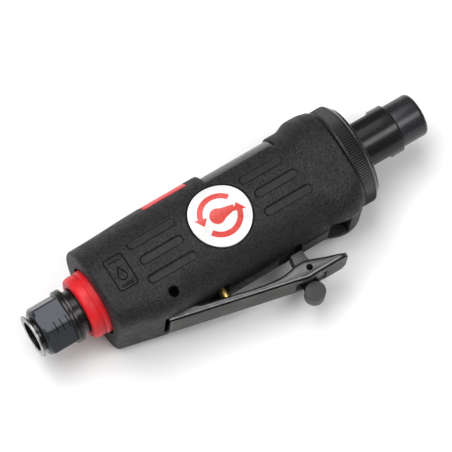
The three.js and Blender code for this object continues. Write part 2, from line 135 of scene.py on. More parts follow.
def product(tree, a, b):
    made = node(tree, "ShaderNodeMath", operation="MULTIPLY")
    tree.links.new(a, made.inputs[0])
    tree.links.new(b, made.inputs[1])
    return made.outputs[0]


def edge_wear(tree):
    """1 along raised edges, 0 on faces."""
    geometry = node(tree, "ShaderNodeNewGeometry")
    return ranged(tree, geometry.outputs["Pointiness"], 0, 1, *WORN_POINTINESS)


def bump(tree, shader, height, distance, strength=1.0, below=None):
    made = node(tree, "ShaderNodeBump", {"Strength": strength, "Distance": distance})
    tree.links.new(height, made.inputs["Height"])
    if below is not None:
        tree.links.new(below, made.inputs["Normal"])
    tree.links.new(made.outputs["Normal"], shader.inputs["Normal"])
    return made.outputs["Normal"]


def grip_material(name, grain):
    """Black glass-filled nylon: pebbles of about a millimetre, or nearly smooth in the finger recesses. The
    pebbles' tops are painted lighter and the gaps between them darker, as painted light and shade.
    """
    mat, tree, shader = material(name, (0.012, 0.012, 0.013), 0.55)
    shader.inputs["Specular IOR Level"].default_value = 0.34
    rough = (0.48, 0.66) if grain else (0.5, 0.62)
    tree.links.new(ranged(tree, noise(tree, 300), *rough, 0.3, 0.7), shader.inputs["Roughness"])
    fine = bump(tree, shader, noise(tree, 5000, 2), 0.00003, 0.5)
    if grain:
        pebbles = cells(tree, 1300, 0.2)
        # painted light and shade: lighter pebble tops, darker gaps between them
        tint = ramp(tree, pebbles, [(0.1, (0.019, 0.019, 0.02)), (0.45, (0.009, 0.009, 0.01)),
                                    (0.7, (0.001, 0.001, 0.001))])
        bump(tree, shader, pebbles, -0.00022, 1.0, fine)
    else:
        tint = ramp(tree, noise(tree, 400), [(0.3, (0.005, 0.005, 0.006)), (0.7, (0.01, 0.01, 0.011))])
    tree.links.new(tint, shader.inputs["Base Color"])
    return mat


def painted_shade_black():
    """Painted shade: near-black with almost no sheen for the inside of fine lines and dark gaps, where shade
    falls.
    """
    mat, tree, shader = material("painted_shade_black", (0.002, 0.002, 0.002), 0.9)
    shader.inputs["Specular IOR Level"].default_value = 0.05
    tint = ramp(tree, noise(tree, 500), [(0.3, (0.002, 0.002, 0.002)), (0.7, (0.005, 0.005, 0.005))])
    tree.links.new(tint, shader.inputs["Base Color"])
    bump(tree, shader, noise(tree, 3000, 2), 0.00002, 0.5)
    return mat


def moulded_red():
    """Red plastic that lets a little light in."""
    mat, tree, shader = material("red_plastic", (0.66, 0.012, 0.02), 0.4)
    tint = ramp(tree, noise(tree, 160), [(0.3, (0.56, 0.008, 0.014)), (0.7, (0.74, 0.018, 0.026))])
    tree.links.new(tint, shader.inputs["Base Color"])
    shader.inputs["Specular IOR Level"].default_value = 0.3
    shader.inputs["Subsurface Weight"].default_value = 0.1
    shader.inputs["Subsurface Radius"].default_value = (0.004, 0.0008, 0.0008)
    tree.links.new(ranged(tree, noise(tree, 700), 0.34, 0.5, 0.3, 0.7), shader.inputs["Roughness"])
    bump(tree, shader, noise(tree, 3000, 2), 0.00002, 0.6)
    return mat


def enamel(name, colour):
    """A smooth, slightly uneven coat or moulding."""
    mat, tree, shader = material(name, colour, 0.3)
    darker = tuple(c * 0.93 for c in colour)
    tint = ramp(tree, noise(tree, 120), [(0.35, darker), (0.65, colour)])
    tree.links.new(tint, shader.inputs["Base Color"])
    tree.links.new(ranged(tree, noise(tree, 500), 0.24, 0.36, 0.3, 0.7), shader.inputs["Roughness"])
    bump(tree, shader, noise(tree, 2500, 2), 0.000008, 0.5)
    return mat


def metal(name, colour, roughness, metallic=1.0, worn=None, brushed=(1, 1, 1), scale=1500, depth=0.000012):
    """Turned or pressed metal: fine streaks, uneven sheen, and worn edges where worn gives their colour."""
    mat, tree, shader = material(name, colour, roughness, metallic)
    streaks = noise(tree, scale, 3, brushed)
    patches = noise(tree, 110, 4)
    dark = tuple(c * 0.8 for c in colour)
    base = ramp(tree, patches, [(0.3, dark), (0.7, colour)])
    if worn:
        mix = node(tree, "ShaderNodeMix", data_type="RGBA")
        share = product(tree, edge_wear(tree), ranged(tree, patches, 0.3, 1, 0.3, 0.6))
        tree.links.new(share, mix.inputs["Factor"])
        tree.links.new(base, mix.inputs["A"])
        mix.inputs["B"].default_value = (*worn, 1)
        base = mix.outputs["Result"]
    tree.links.new(base, shader.inputs["Base Color"])
    sheen = ranged(tree, streaks, roughness - 0.08, roughness + 0.1, 0.3, 0.7)
    tree.links.new(sheen, shader.inputs["Roughness"])
    bump(tree, shader, streaks, depth, 0.6)
    return mat


def fibrous(name, colour, scale):
    """Felt or pressed fibre."""
    mat, tree, shader = material(name, colour, 0.95)
    darker = tuple(c * 0.6 for c in colour)
    strands = noise(tree, scale, 6)
    tint = ramp(tree, strands, [(0.35, darker), (0.65, colour)])
    tree.links.new(tint, shader.inputs["Base Color"])
    bump(tree, shader, strands, 0.0002, 0.8)
    return mat


ROUND_X = (0.05, 1, 1)  # streaks run along the tool
TURNED = (6, 1, 1)  # streaks run round the tool
GRIP = grip_material("grip_composite", True)
GRIP_SMOOTH = grip_material("grip_smooth", False)
# near-black that paints the shade in grooves, creases and gaps
PAINTED_SHADE_BLACK = painted_shade_black()
RED = moulded_red()
WHITE = enamel("emblem_white", (0.74, 0.74, 0.73))
MARK_RED = enamel("emblem_mark_red", (0.6, 0.045, 0.035))
STEEL = metal("plain_steel", (0.56, 0.56, 0.57), 0.28, brushed=TURNED)
SATIN_BLACK = metal("satin_black_steel", (0.02, 0.021, 0.023), 0.28, 0.4, (0.14, 0.14, 0.15), TURNED)
BLUED_BLACK = metal("blued_black_steel", (0.028, 0.031, 0.037), 0.3, 0.6, None, TURNED)
OXIDE_BLACK = metal("oxide_black_steel", (0.006, 0.006, 0.007), 0.46, 0.1, (0.08, 0.08, 0.08), TURNED)
GLOSS_BLACK = metal("gloss_black_steel", (0.028, 0.026, 0.026), 0.22, 0.7, (0.08, 0.075, 0.07), TURNED,
                    depth=0.000003)
WORN_STEEL = metal("worn_edge_steel", (0.3, 0.3, 0.31), 0.3, 0.9, None, TURNED)
BLACK_ALUMINIUM = metal("black_aluminium", (0.03, 0.03, 0.032), 0.3, 0.3, None, ROUND_X)
GUNMETAL = metal("gunmetal_steel", (0.105, 0.105, 0.108), 0.28, 0.9, None, ROUND_X, depth=0.000002)
# the lever web: mottled wear of its own, and a tone darker than the side plates of the same sheet that is
# painted shade
MOTTLED = metal("lever_mottled", (0.018, 0.016, 0.014), 0.5, 0.4, (0.2, 0.19, 0.17), scale=1600,
                depth=0.00006)
CAST_GREY = metal("latch_grey", (0.031, 0.031, 0.032), 0.5, 0.4, (0.1, 0.1, 0.1), scale=2500,
                  depth=0.00004)
ALUMINIUM = metal("aluminium", (0.6, 0.6, 0.61), 0.4, brushed=TURNED)
BRASS = metal("brass", (0.5, 0.37, 0.13), 0.3, 1.0, brushed=TURNED)
RUBBER = enamel("seal_rubber", (0.02, 0.02, 0.02))
FELT = fibrous("felt", (0.06, 0.055, 0.05), 1800)
FIBRE = fibrous("fibre", (0.25, 0.15, 0.08), 900)
SLOT_MATERIALS = {
    "grip_composite": GRIP, "red_plastic": RED, "emblem_white": WHITE, "satin_black_steel": SATIN_BLACK,
    "gloss_black_steel": GLOSS_BLACK, "black_aluminium": BLACK_ALUMINIUM, "plain_steel": STEEL,
    "gunmetal_steel": GUNMETAL, "aluminium": ALUMINIUM, "brass": BRASS, "seal_rubber": RUBBER, "felt": FELT,
    "fibre": FIBRE,
}
NODE_SLOTS = {part["node"]: part["material_slot"] for part in frame["record"]["subparts"]}
for name, obj in frame["nodes"].items():
    obj.data.materials.clear()
    obj.data.materials.append(SLOT_MATERIALS[NODE_SLOTS[name]])


# ---------------------------------------------------------------- mesh helpers, in the tool frame

def mesh_object(name, points, faces):
    mesh = bpy.data.meshes.new(name)
    mesh.from_pydata(points, [], faces)
    mesh.update()
    obj = bpy.data.objects.new(name, mesh)
    bpy.context.scene.collection.objects.link(obj)
    tidy = bmesh.new()
    tidy.from_mesh(mesh)
    bmesh.ops.remove_doubles(tidy, verts=tidy.verts, dist=1e-5)
    bmesh.ops.recalc_face_normals(tidy, faces=tidy.faces)
    tidy.to_mesh(mesh)
    tidy.free()
    return obj


def apply_modifiers(obj):
    graph = bpy.context.evaluated_depsgraph_get()
    baked = bpy.data.meshes.new_from_object(obj.evaluated_get(graph))
    obj.modifiers.clear()
    old = obj.data
    obj.data = baked
    bpy.data.meshes.remove(old)
    return obj


def combine(obj, other, operation):
    """Joins other to obj, cuts it out, or keeps only what they share; other is used up."""
    made = obj.modifiers.new("combine", "BOOLEAN")
    made.operation = operation
    made.solver = "MANIFOLD"
    made.object = other
    apply_modifiers(obj)
    bpy.data.objects.remove(other)
    return obj


def cut(obj, *others):
    for other in others:
        combine(obj, other, "DIFFERENCE")
    return obj


def join(obj, *others):
    for other in others:
        combine(obj, other, "UNION")
    return obj


def bevel(obj, width, segments=2, angle=35):
    made = obj.modifiers.new("bevel", "BEVEL")
    made.width = width
    made.segments = segments
    made.limit_method = "ANGLE"
    made.angle_limit = math.radians(angle)
    return apply_modifiers(obj)


def finished(obj, body, node_names, mat, sharp=40):
    obj.data.transform(TOOL)
    obj.data.shade_smooth()
    obj.data.set_sharp_from_angle(angle=math.radians(sharp))
    if mat is not None:
        obj.data.materials.clear()
        obj.data.materials.append(mat)
    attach(obj, body)
    if node_names:
        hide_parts(*node_names)
    return obj


def paint(obj, materials, choose):
    """Gives each face the material that choose returns for its centre."""
    obj.data.materials.clear()
    for mat in materials:
        obj.data.materials.append(mat)
    for face in obj.data.polygons:
        face.material_index = choose(*face.center)


def eased(profile, radius, closed):
    """The profile with a small round at each of its corners."""
    points = [Vector(p) for p in profile]
    count = len(points)
    out = []
    for i, here in enumerate(points):
        if not closed and i in (0, count - 1):
            out.append(here)
            continue
        before = points[i - 1] - here
        after = points[(i + 1) % count] - here
        reach = min(radius, before.length * 0.45, after.length * 0.45)
        if reach < 0.01 or before.angle(after) > math.radians(172):
            out.append(here)
            continue
        start = here + before.normalized() * reach
        end = here + after.normalized() * reach
        for t in (0, 0.25, 0.5, 0.75, 1):
            out.append(start.lerp(here, t).lerp(here.lerp(end, t), t))
    return out


def lathe(name, profile, segments=96, ease=0.15, trim=None):
    """Turns (x, radius) points about the tool's axis. trim(x, angle, radius) may pull a point in. The profile
    closes on itself unless it starts on the axis."""
    closed = profile[0][1] > 0
    points = eased(profile, ease, closed)
    around = []
    for i in range(segments):
        angle = 2 * math.pi * i / segments
        for x, radius in points:
            reach = trim(x, angle, radius) if trim else radius
            around.append((x, reach * math.cos(angle), reach * math.sin(angle)))
    count = len(points)
    faces = []
    steps = count if closed else count - 1
    for i in range(segments):
        for j in range(steps):
            k = (j + 1) % count
            here, following = i * count, ((i + 1) % segments) * count
            faces.append((here + j, here + k, following + k, following + j))
    return mesh_object(name, around, faces)


def upright(obj, x):
    """Turns a piece made about the tool's axis so that its axis runs along z at x."""
    obj.data.transform(Matrix.Translation((x, 0, 0)) @ Matrix.Rotation(-math.pi / 2, 4, "Y"))
    return obj


def crosswise(obj, x, z):
    """The same across the tool, along y, at x and z."""
    obj.data.transform(Matrix.Translation((x, 0, z)) @ Matrix.Rotation(math.pi / 2, 4, "Z"))
    return obj


def rod(name, x0, x1, radius, segments=48, ease=0.0):
    return lathe(name, [(x0, 0), (x0, radius), (x1, radius), (x1, 0)], segments, ease)


def block(name, x0, x1, y0, y1, z0, z1):
    points = [(x, y, z) for x in (x0, x1) for y in (y0, y1) for z in (z0, z1)]
    faces = [(0, 1, 3, 2), (4, 6, 7, 5), (0, 4, 5, 1), (2, 3, 7, 6), (0, 2, 6, 4), (1, 5, 7, 3)]
    return mesh_object(name, points, faces)


def slab(name, outline, y0, y1):
    """An outline of (x, z) points given thickness across the tool."""
    count = len(outline)
    points = [(x, y, z) for y in (y0, y1) for x, z in outline]
    faces = [tuple(range(count)), tuple(range(2 * count - 1, count - 1, -1))]
    for i in range(count):
        j = (i + 1) % count
        faces.append((i, j, count + j, count + i))
    return mesh_object(name, points, faces)


def arc(x, z, radius, start, end, steps=12):
    angles = [math.radians(start + (end - start) * i / steps) for i in range(steps + 1)]
    return [(x + radius * math.cos(a), z + radius * math.sin(a)) for a in angles]


def loft(name, rings):
    """Joins rings of points, each with the same count, and caps the two ends."""
    count = len(rings[0])
    points = [p for ring in rings for p in ring]
    faces = []
    for i in range(len(rings) - 1):
        for j in range(count):
            k = (j + 1) % count
            faces.append((i * count + j, i * count + k, (i + 1) * count + k, (i + 1) * count + j))
    faces.append(tuple(range(count)))
    faces.append(tuple(range(len(points) - 1, len(points) - 1 - count, -1)))
    return mesh_object(name, points, faces)


def tube(name, path, radius):
    """A round wire along a list of points."""
    sides = 12
    rings = []
    normal = None
    for i, here in enumerate(path):
        ahead = Vector(path[min(i + 1, len(path) - 1)]) - Vector(path[max(i - 1, 0)])
        ahead.normalize()
        if normal is None:
            normal = ahead.orthogonal().normalized()
        normal = (normal - ahead * normal.dot(ahead)).normalized()
        side = ahead.cross(normal)
        ring = []
        for j in range(sides):
            angle = 2 * math.pi * j / sides
            ring.append(Vector(here) + (normal * math.cos(angle) + side * math.sin(angle)) * radius)
        rings.append(ring)
    return loft(name, rings)


# ---------------------------------------------------------------- grip housing

GRIP_START, GRIP_END = 27, 135
VALVE_X = 71
SIDE_REACH = 21.4  # axis to the flat sides
PIVOT = (51.1, -17)  # lever pin
LATCH = (102.4, -32.8)  # latch pin
EMBLEM_X, EMBLEM_Z, EMBLEM_RADIUS = 81.5, -1, 12.3
SIDES = {"left": (-30, -5), "right": (5, 30)}  # the reach in y of a cutter for each flat side
WINDOW = (84.6, 115.7, 50)  # x from, to, and half angle about the spine


def smooth(x, low, high):
    """0 below low, 1 above high, and an even S between."""
    t = min(1, max(0, (x - low) / (high - low)))
    return t * t * (3 - 2 * t)


def quarter(t):
    """0 at t = 0, rising as a quarter circle to 1 at t = 1."""
    return 1 - math.sqrt(max(0.0, 1 - min(1, max(0, t)) ** 2))


def end_round(x):
    """How far the outline shrinks towards each end."""
    return 1.5 * quarter(1 - (x - GRIP_START) / 1.5) + 0.6 * quarter(1 - (GRIP_END - x))


def spine_radius(x):
    collar = smooth(x, 120.5, 126)
    valley = smooth(x, 112, 116) * (1 - collar)
    return 20.8 + 0.9 * smooth(x, 30, 60) - valley + 0.7 * collar - 0.8 * smooth(x, 130, 135)


def belly_depth(x):
    heel = 4.4 * max(0, (46 - x) / 18)
    guard = 1.6 * smooth(x, 116, 127)
    return 22.6 - heel + 0.7 * smooth(x, 50, 62) + guard - 6 * quarter((x - 126) / 9.3)


def corner_radius(x):
    return 9 + 7 * smooth(x, 50, 62) - 5 * smooth(x, 116, 125)


def grip_reach(x, angle, inset=0.0):
    """The grip's outline: a circle over a block with tapered flat sides and a round-cornered belly."""
    shrink = inset + end_round(x)
    side = SIDE_REACH - shrink
    around = spine_radius(x) - shrink
    belly = belly_depth(x) - shrink
    corner = corner_radius(x)
    if angle >= -TAPER:
        share = min(1, (angle + TAPER) / (math.radians(60) + TAPER))
        return around + (side - around) * (1 + math.cos(math.pi * share)) / 2
    cz = corner - belly
    cy = (side - corner + cz * math.sin(TAPER)) / math.cos(TAPER)
    side_end = math.atan2(cz - corner * math.sin(TAPER), cy + corner * math.cos(TAPER))
    if angle > side_end:
        return side / math.cos(angle + TAPER)
    if angle < math.atan2(-belly, cy):
        return belly / -math.sin(angle)
    along = math.cos(angle) * cy + math.sin(angle) * cz
    return along + math.sqrt(along * along - cy * cy - cz * cz + corner * corner)


def stations(low, high, step):
    count = max(1, round((high - low) / step))
    return [low + (high - low) * i / count for i in range(count)]


GRIP_X = (stations(27, 30, 0.15) + stations(30, 58, 2) + stations(58, 60, 0.1) + stations(60, 104, 2)
          + stations(104, 134, 0.75) + stations(134, 135, 0.1) + [135])


def grip_form(name, inset=0.0):
    """The whole grip as a solid, or a smaller one inside it."""
    around = 180
    rings = []
    for x in GRIP_X:
        ring = []
        for i in range(around):
            turn = 2 * math.pi * i / around - math.pi / 2
            angle = math.asin(max(-1, min(1, math.sin(turn))))
            reach = grip_reach(x, angle, inset)
            side = 1 if math.cos(turn) >= 0 else -1
            ring.append((x, reach * math.cos(angle) * side, reach * math.sin(angle)))
        rings.append(ring)
    return loft(name, rings)


def spine_wedge(name, x0, x1, half_angle):
    """A wedge of the tool's circle about the spine."""
    side = 40 * math.tan(math.radians(half_angle))
    ends = [[(x, 0, 0), (x, side, 40), (x, -side, 40)] for x in (x0, x1)]
    return loft(name, ends)


def stadium(x0, x1, z, radius):
    return arc(x1 - radius, z, radius, -90, 90) + arc(x0 + radius, z, radius, 90, 270)


def beyond(cutter, inset):
    """The part of a cutter that lies outside the grip's outline at that inset."""
    return cut(cutter, grip_form("floor", inset))


VOXEL = 0.3
FINGER = {"radius": 1.75, "depth": 0.75}
FINGER_ROWS = [((45.0, 65.7), (94.8, 113.6), 6.2), ((46.0, 64.6), (97.0, 115.6), -1.4),
               ((45.0, 65.9), (96.4, 117.4), -9.1)]
FRAME_BOX = {"x0": 33.4, "x1": 41.8, "z0": -7.8, "z1": 6.2, "corner": 1.6, "line": 0.45, "depth": 0.4}


def rounded_box(x0, x1, z0, z1, corner):
    corners = [(x1 - corner, z1 - corner), (x0 + corner, z1 - corner), (x0 + corner, z0 + corner),
               (x1 - corner, z0 + corner)]
    outline = []
    for i, (x, z) in enumerate(corners):
        outline += arc(x, z, corner, 90 * i, 90 * (i + 1), 6)
    return outline


def drop_outline(x, z, radius):
    """An oil drop with its point towards the spine."""
    return arc(x, z, radius, -220, 40, 16) + [(x, z + 2.3 * radius)]


def grip_housing():
    """The form with its bore, slots, pockets, window and recesses, remeshed so that its edges are soft."""
    body = grip_form("grip")
    join(body, block("keel", 74, 119.6, -5, 5, -23.8, -19))
    cut(body, rod("bore", 36.7, 136, 17.4, 96), rod("rear", 26, 37, 14, 96))
    cut(body, block("slot", 45, 59.3, -8.2, 8.2, -30, -12.5), crosswise(rod("pin", -25, 25, 2), *PIVOT))
    cut(body, block("valve recess", 59, 73.2, -8.2, 8.2, -30, -19.6))
    cut(body, upright(rod("valve", -19.9, -10, 4.5), VALVE_X))
    cut(body, block("latch pocket", 95, 105.6, -3.9, 3.9, -30, -18.6))
    cut(body, block("latch window", 99.4, 105, -6, 6, -30, -20.8))
    cut(body, block("lever relief", 101.4, 105, -7.3, 7.3, -30, -22.8))
    pocket = [(117, -24), (117, -30), (126.8, -30), (126.8, -20.2), (121.5, -20.2)]
    cut(body, slab("nose pocket", pocket, -8, 8))
    cut(body, spine_wedge("window", *WINDOW))
    cut(body, beyond(spine_wedge("inlay", 59.7, 79.3, 35.2), 1.4))
    for y0, y1 in SIDES.values():
        circle = crosswise(rod("emblem", y0, y1, EMBLEM_RADIUS + 0.6, 96), EMBLEM_X, EMBLEM_Z)
        cut(body, beyond(circle, 1.4))
        for rear, front, z in FINGER_ROWS:
            for x0, x1 in (rear, front):
                recess = slab("finger", stadium(x0, x1, z, FINGER["radius"]), y0, y1)
                cut(body, beyond(recess, FINGER["depth"]))
    remesh = body.modifiers.new("remesh", "REMESH")
    remesh.mode = "VOXEL"
    remesh.voxel_size = VOXEL
    soften = body.modifiers.new("soften", "SMOOTH")
    soften.factor = 0.5
    soften.iterations = 3
    return apply_modifiers(body)


def grip_finish(x, y, z):
    """0 on the grain, 1 on the floors of the finger recesses, 2 in the lines of the moulded frame, which are
    painted shade.
    """
    f = FRAME_BOX
    if y < 0 and f["x0"] - 0.1 < x < f["x1"] + 0.1 and f["z0"] - 0.1 < z < f["z1"] + 0.1:
        depth = grip_reach(x, math.atan2(z, -y)) - math.hypot(y, z)
        # the frame's lines get the painted-shade black
        return 2 if depth > 0.12 else 0
    return in_finger_recess(x, y, z)


def in_finger_recess(x, y, z):
    """1 on the floor of a finger recess, where the grain stops."""
    for rear, front, row_z in FINGER_ROWS:
        for x0, x1 in (rear, front):
            radius = FINGER["radius"] - 0.25
            nearest = min(max(x, x0 + FINGER["radius"]), x1 - FINGER["radius"])
            if math.hypot(x - nearest, z - row_z) < radius:
                angle = math.atan2(z, abs(y))
                return int(math.hypot(y, z) < grip_reach(x, angle, 0.3))
    return 0


def skin(cutter, outer, inner):
    """A flush plate of the grip's skin between two insets, where it meets a cutter."""
    shell = grip_form("shell", outer)
    cut(shell, grip_form("core", inner))
    return combine(shell, cutter, "INTERSECT")


def frame_lines():
    """The frame with an oil drop in it that is moulded into one side."""
    f = FRAME_BOX
    solid, hollow = (-24, -12), (-25, -11)
    rim = rounded_box(f["x0"], f["x1"], f["z0"], f["z1"], f["corner"])
    inside = rounded_box(f["x0"] + f["line"], f["x1"] - f["line"], f["z0"] + f["line"],
                         f["z1"] - f["line"], f["corner"] - f["line"])
    relief = cut(slab("frame", rim, *solid), slab("inner", inside, *hollow))
    middle = (f["x0"] + f["x1"]) / 2
    join(relief, cut(slab("drop", drop_outline(middle, -2.4, 1.9), *solid),
                     slab("hollow", drop_outline(middle, -2.5, 1.45), *hollow)))
    for bar_z in (3.9, -6.4, -5.7):
        join(relief, slab("bar", stadium(middle - 2.4, middle + 2.4, bar_z, 0.18), *solid))
    return skin(relief, -1, f["depth"])


grip = grip_housing()
grip.name = "grip_shell"
cut(grip, frame_lines())
paint(grip, [GRIP, GRIP_SMOOTH, PAINTED_SHADE_BLACK], grip_finish)
finished(grip, "housing", ["grip_housing"], None, 60)

inlay = bevel(skin(spine_wedge("cutter", 60, 79, 34), 0.05, 1.1), 0.2)
inlay.name = "spine_inlay_red"
finished(inlay, "housing", ["spine_inlay"], RED)

for side, (y0, y1) in SIDES.items():
    circle = crosswise(rod("circle", y0, y1, EMBLEM_RADIUS, 128), EMBLEM_X, EMBLEM_Z)
    disc = bevel(skin(circle, 0.2, 1.1), 0.25, 3, 50)
    disc.name = f"emblem_{side}"
    finished(disc, "housing", [f"emblem_disc_{side}"], WHITE)


def turning_arrow(start, end, inner, outer):
    """A curved arrow in x and z round the emblem's middle, between two angles in degrees."""
    head = []
    for radius, degrees in ((outer + 1.5, end), ((inner + outer) / 2, end + 24), (inner - 1.5, end)):
        angle = math.radians(degrees)
        head.append((EMBLEM_X + radius * math.cos(angle), EMBLEM_Z + radius * math.sin(angle)))
    return (arc(EMBLEM_X, EMBLEM_Z, outer, start, end, 24) + head
            + arc(EMBLEM_X, EMBLEM_Z, inner, end, start, 24))


def emblem_mark(side, y0, y1):
    """A generic rotation mark: two arrows chasing round a burr."""
    burr = arc(EMBLEM_X - 1.2, EMBLEM_Z, 3.1, 45, 315, 24)
    burr += [(EMBLEM_X + 6.2, EMBLEM_Z - 1.0), (EMBLEM_X + 6.2, EMBLEM_Z + 1.0)]
    mark = slab("part", turning_arrow(35, 165, 6.6, 8.8), y0, y1)
    join(mark, slab("part", turning_arrow(215, 345, 6.6, 8.8), y0, y1), slab("part", burr, y0, y1))
    plate = skin(mark, 0.14, 0.6)
    plate.name = f"emblem_mark_{side}"
    return finished(plate, "housing", [], MARK_RED)


for side, (y0, y1) in SIDES.items():
    emblem_mark(side, y0, y1)


# ---------------------------------------------------------------- inlet and exhaust

HEX_TURN = math.radians(23)
HEX_REACH = 9.3  # axis to each flat of the hexagon
HEX_FRONT, HEX_BACK = 2.3, 14.15
LINES_X = (7.9, 10.5, 13.1)  # lines engraved across a corner of the hexagon
LINES_TURN = math.radians(113)
LINES_DEPTH = 0.35


def hexagon(reach, turn):
    """A trim that holds a point inside a hexagon with that distance to its flats."""
    def trim(x, angle, radius):
        if not HEX_FRONT <= x <= HEX_BACK:
            return radius
        off = (angle - turn) % (math.pi / 3) - math.pi / 6
        return min(radius, reach / math.cos(off))
    return trim


def inlet_finish(x, y, z):
    """0 on the blued hexagon, 1 on the worn lip, 2 on the neck and collar, 3 in the engraved lines, which are
    painted shade.
    """
    reach = math.hypot(y, z)
    # the engraved lines get the painted-shade black
    if y < -7 and min(abs(x - at) for at in LINES_X) < 0.17:
        return 3
    if x < 0.5 and reach > 6.3:
        return 1
    return 2 if reach < 8 or x > 14.1 else 0


inlet_outline = [(0, 6.1), (0, 8.7), (0.6, 8.7), (0.7, 7.0), (2.2, 7.0), (2.2, 8.4), (2.9, 9.4), (4.0, 10.55),
                 (14.15, 10.55), (14.2, 10.8), (14.4, 11), (15.3, 11), (15.4, 10.6), (15.7, 10.6), (15.8, 11),
                 (16.8, 11), (17, 10.8), (17, 9.05), (46, 9.05), (46, 4.5), (15.8, 4.5), (15.8, 6.1)]
for i in range(9):
    thread = 14.4 - 1.3 * i
    inlet_outline += [(thread, 6.1), (thread - 0.35, 6.45), (thread - 0.7, 6.1)]
inlet = lathe("air_inlet", inlet_outline, 240, 0.12, hexagon(HEX_REACH, HEX_TURN))
for at in LINES_X:
    groove = block("groove", at - 0.18, at + 0.18, -2.4, 2.4, 6, 12)
    groove.data.transform(Matrix.Rotation(LINES_TURN, 4, "X"))
    core_outline = [(5, 0), (5, 12), (14.1, 12), (14.1, 0)]
    core = lathe("core", core_outline, 240, 0, hexagon(HEX_REACH - LINES_DEPTH, HEX_TURN))
    cut(inlet, cut(groove, core))
paint(inlet, [BLUED_BLACK, WORN_STEEL, GLOSS_BLACK, PAINTED_SHADE_BLACK], inlet_finish)
finished(inlet, "housing", ["air_inlet_bushing"], None, 30)

deflector = [(20.2, 9.4), (20.2, 11.2), (20.8, 12.4), (22.2, 12.8), (24.3, 12.8), (25.2, 12.6), (26, 13.1),
             (28.2, 13.2), (29, 11.4), (31, 11.4), (31, 9.4)]
ring = lathe("exhaust_deflector", deflector, 128, 0.5)
finished(ring, "exhaust_ring", ["exhaust_ring"], RED, 50)


# ---------------------------------------------------------------- valve

COIL = {"radius": 2.7, "wire": 0.45, "low": -2.3, "high": 8.6, "turns": 5}


def coil_points(turns, radius, low, high):
    """A coil of (across, up, along) points, 24 to a turn."""
    points = []
    for i in range(turns * 24 + 1):
        angle = 2 * math.pi * i / 24
        along_coil = low + (high - low) * i / (turns * 24)
        points.append((radius * math.cos(angle), radius * math.sin(angle), along_coil))
    return points


stem_outline = [(-27.9, 0), (-27.9, 1.1), (-27.3, 1.8), (-4.6, 1.8), (-4.6, 3.5), (-3.2, 3.5), (-3.2, 1.2),
                (0, 1.2), (0, 0)]
stem = upright(lathe("valve_stem_turned", stem_outline, 48, 0.3), VALVE_X)
finished(stem, "valve_stem", ["valve_stem"], BRASS)

valve_path = [(VALVE_X + a, b, c) for a, b, c in
              coil_points(COIL["turns"], COIL["radius"], COIL["low"], COIL["high"])]
spring = tube("valve_spring_wire", valve_path, COIL["wire"])
finished(spring, "housing", ["valve_spring"], WORN_STEEL)
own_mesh(spring)

sleeve_outline = [(-19.6, 2.1), (-19.6, 3.8), (-19.2, 4.2), (-6.2, 4.2), (-6.2, 2.9), (-15, 2.9), (-15, 2.1)]
sleeve = upright(lathe("valve_bushing_turned", sleeve_outline, 64, 0.2), VALVE_X)
finished(sleeve, "housing", ["valve_bushing"], BRASS)


# ---------------------------------------------------------------- motor housing, clamp nut and nose

def motor_housing():
    """A tube with a saddle that fills the spine's window, less a small gap all round."""
    tube_part = lathe("motor_tube", [(82.9, 15.8), (82.9, 17.2), (134.7, 17.2), (134.7, 15.8)], 128)
    low, high, half_angle = WINDOW[0] + 0.3, WINDOW[1] - 0.3, WINDOW[2] - 1
    outline = [(low, 16.2), (low, 19.4), (86.3, 19.9), (high, 19.9), (high, 16.2)]
    saddle = lathe("saddle", outline, 192, 0.4)
    combine(saddle, spine_wedge("wedge", WINDOW[0], WINDOW[1], half_angle), "INTERSECT")
    return bevel(join(tube_part, saddle), 0.2, 2, 50)


back = motor_housing()
back.name = "motor_tube"
finished(back, "housing", ["motor_housing"], BLACK_ALUMINIUM)


KNURLS = 132
KNURL_DEPTH = 0.55
KNURL_FRONT = 141.05


def knurl(x, angle, radius):
    """Fine ridges along the clamp nut's band."""
    if not (136.8 < x < KNURL_FRONT and radius > 20.7):
        return radius
    wave = abs(((angle * KNURLS / (2 * math.pi)) % 1) - 0.5) * 2
    return radius - KNURL_DEPTH * wave


def nut_finish(x, y, z):
    """0 on the knurled band and the back, 1 on the glossy front, 2 on its rim, painted lighter as a painted
    highlight.
    """
    # the rim is painted lighter: a painted highlight
    if x > 143.25 and math.hypot(y, z) > 17.4:
        return 2
    return int(x > 141.1)


nut_outline = [(124.7, 14), (124.7, 15.5), (135.3, 15.5), (135.3, 20.0), (135.6, 20.4), (136.2, 20.68),
               (136.9, 20.78), (141, 20.78), (141.2, 20.75), (141.9, 20.3), (142.6, 19.5), (143.1, 18.5),
               (143.3, 18.5), (143.9, 18.3), (143.9, 17.9), (143.1, 17.3), (142.9, 11.4), (143.3, 10.7),
               (143.3, 10.4), (134, 10.4), (134, 14)]
nut = lathe("clamp_nut_knurled", nut_outline, KNURLS * 8, 0.1, knurl)
paint(nut, [OXIDE_BLACK, GLOSS_BLACK, GUNMETAL], nut_finish)
finished(nut, "housing", ["clamp_nut"], None, 30)


FLATS_TURN = math.radians(14)
FLATS_REACH = 9.2  # axis to each of the two flats


def wrench_flats(x, angle, radius):
    """A trim that cuts two flats on opposite sides of the spindle."""
    if not 145.6 <= x <= 156.4:
        return radius
    facing = abs(math.sin(angle - FLATS_TURN))
    return min(radius, FLATS_REACH / facing) if facing > 0.5 else radius


